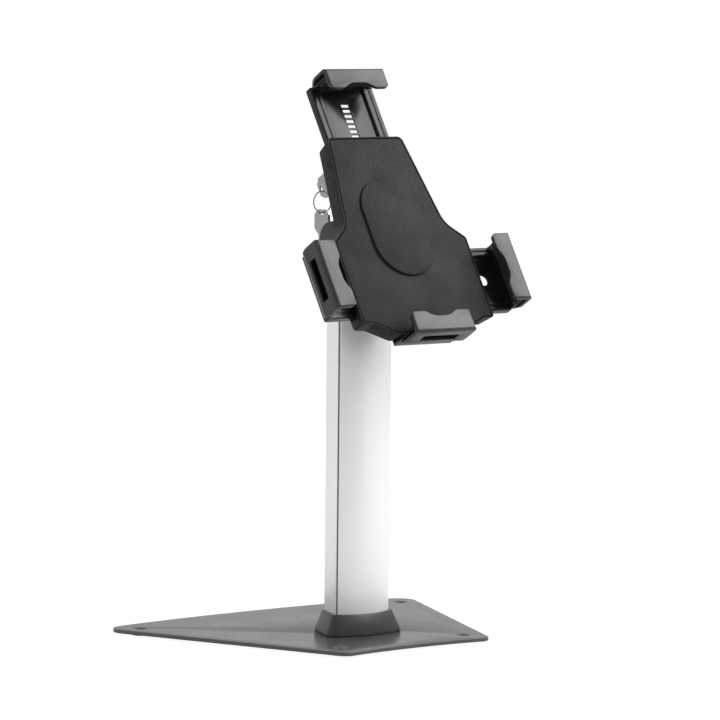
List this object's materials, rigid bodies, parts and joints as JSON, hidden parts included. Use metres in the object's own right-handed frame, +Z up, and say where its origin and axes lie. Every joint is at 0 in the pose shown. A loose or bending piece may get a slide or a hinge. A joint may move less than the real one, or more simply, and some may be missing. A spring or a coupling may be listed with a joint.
{
  "type": "anti-theft tablet desk stand",
  "caption": "Desk stand with a lockable tablet clamp: hooked claws on sliding steel arms, a tilting and swivelling head, an extruded pole and a floor plate.",
  "frame": {"origin": "on the table under the centre of the stand's overall box", "axes": "+Z up, +X to the right, the user at -Y"},
  "size_m": [0.301, 0.2511, 0.4524],
  "materials": {
    "base_paint": "fine-textured powder coat",
    "black_rubber": "matt",
    "collar_plastic": "satin moulded",
    "pole_aluminium": "satin anodised",
    "cast_black": "satin black paint on a casting",
    "zinc": "zinc-plated",
    "washer_plastic": "plain",
    "housing_plastic": "fine moulded grain",
    "pad_plastic": "fine moulded grain",
    "black_steel": "gloss black enamel",
    "claw_plastic": "fine satin grain",
    "pinion_brass": "plain",
    "lock_nickel": "nickel-plated",
    "key_nickel": "nickel-plated"
  },
  "bodies": {
    "stand": {"base_plate": "base_paint", "foot_front_left": "black_rubber", "foot_front_right": "black_rubber", "foot_rear_left": "black_rubber", "foot_rear_right": "black_rubber", "base_screws": "zinc", "pole_collar": "collar_plastic", "pole": "pole_aluminium", "pole_cap": "cast_black", "cap_screws": "zinc"},
    "yoke": {"tilt_yoke": "cast_black", "hinge_bolt": "zinc", "hinge_nut": "zinc", "hinge_cap_left": "collar_plastic", "hinge_cap_right": "collar_plastic", "friction_washers": "washer_plastic", "swivel_washer": "washer_plastic", "swivel_disc": "zinc", "swivel_screws": "zinc"},
    "head": {"back_shell": "housing_plastic", "front_panel": "housing_plastic", "oval_pad": "pad_plastic", "panel_screws": "zinc", "pinion_post": "zinc", "bottom_bracket": "black_steel", "bracket_screws": "zinc", "bottom_claw": "claw_plastic", "bottom_grip": "black_rubber", "lock_body": "lock_nickel", "lock_nut": "zinc"},
    "upper_slide": {"top_arm": "black_steel", "top_claw": "claw_plastic", "top_grip": "black_rubber"},
    "left_slider": {"left_arm": "black_steel", "left_rack": "zinc", "left_claw": "claw_plastic", "left_grip": "black_rubber"},
    "right_slider": {"right_arm": "black_steel", "right_rack": "zinc", "right_claw": "claw_plastic", "right_grip": "black_rubber"},
    "pinion_wheel": {"pinion": "pinion_brass"},
    "keyed_plug": {"lock_plug": "lock_nickel", "lock_cam": "lock_nickel", "key": "key_nickel"},
    "latch": {"latch_pawl": "zinc"},
    "ring": {"key_ring": "key_nickel"},
    "hanging_key": {"spare_key": "key_nickel"}
  },
  "joints": [
    {"name": "head_tilt", "type": "hinge", "parent": "stand", "child": "yoke", "pos_m": [0, -0.01236, 0.3183], "axis": [-1, 0, 0], "range_deg": [-31.5, 28.5]},
    {"name": "head_swivel", "type": "hinge", "parent": "yoke", "child": "head", "pos_m": [0, -0.03905, 0.33465], "axis": [0, -0.8526, 0.5225], "range_deg": [-90, 0]},
    {"name": "top_slide", "type": "slide", "parent": "head", "child": "upper_slide", "axis": [0, 0.5225, 0.8526], "range_m": [-0.0322, 0.0322]},
    {"name": "left_slide", "type": "slide", "parent": "head", "child": "left_slider", "axis": [-1, 0, 0], "range_m": [-0.022, 0.005]},
    {"name": "right_slide", "type": "slide", "parent": "head", "child": "right_slider", "axis": [1, 0, 0], "range_m": [-0.022, 0.005]},
    {"name": "pinion_turn", "type": "hinge", "parent": "head", "child": "pinion_wheel", "pos_m": [0, -0.07221, 0.28437], "axis": [0, -0.8526, 0.5225], "range_deg": [-158, 36]},
    {"name": "key_turn", "type": "hinge", "parent": "head", "child": "keyed_plug", "pos_m": [-0.0142, -0.01099, 0.3747], "axis": [0, -0.8526, 0.5225], "range_deg": [0, 90]},
    {"name": "latch_rise", "type": "slide", "parent": "head", "child": "latch", "axis": [0, -0.8526, 0.5225], "range_m": [0, 0.0018]},
    {"name": "ring_swing", "type": "hinge", "parent": "keyed_plug", "child": "ring", "pos_m": [-0.0142, 0.01684, 0.356], "axis": [1, 0, 0], "range_deg": [0, 60]},
    {"name": "spare_key_swing", "type": "hinge", "parent": "ring", "child": "hanging_key", "pos_m": [-0.0142, 0.01684, 0.3381], "axis": [1, 0, 0], "range_deg": [0, 60]}
  ],
  "couplings": [
    {"joint": "right_slide", "follows": "left_slide", "ratio": 1},
    {"joint": "pinion_turn", "follows": "left_slide", "rad_per_m": 125},
    {"joint": "key_turn", "follows": "latch_rise", "rad_per_m": 872.66}
  ]
}
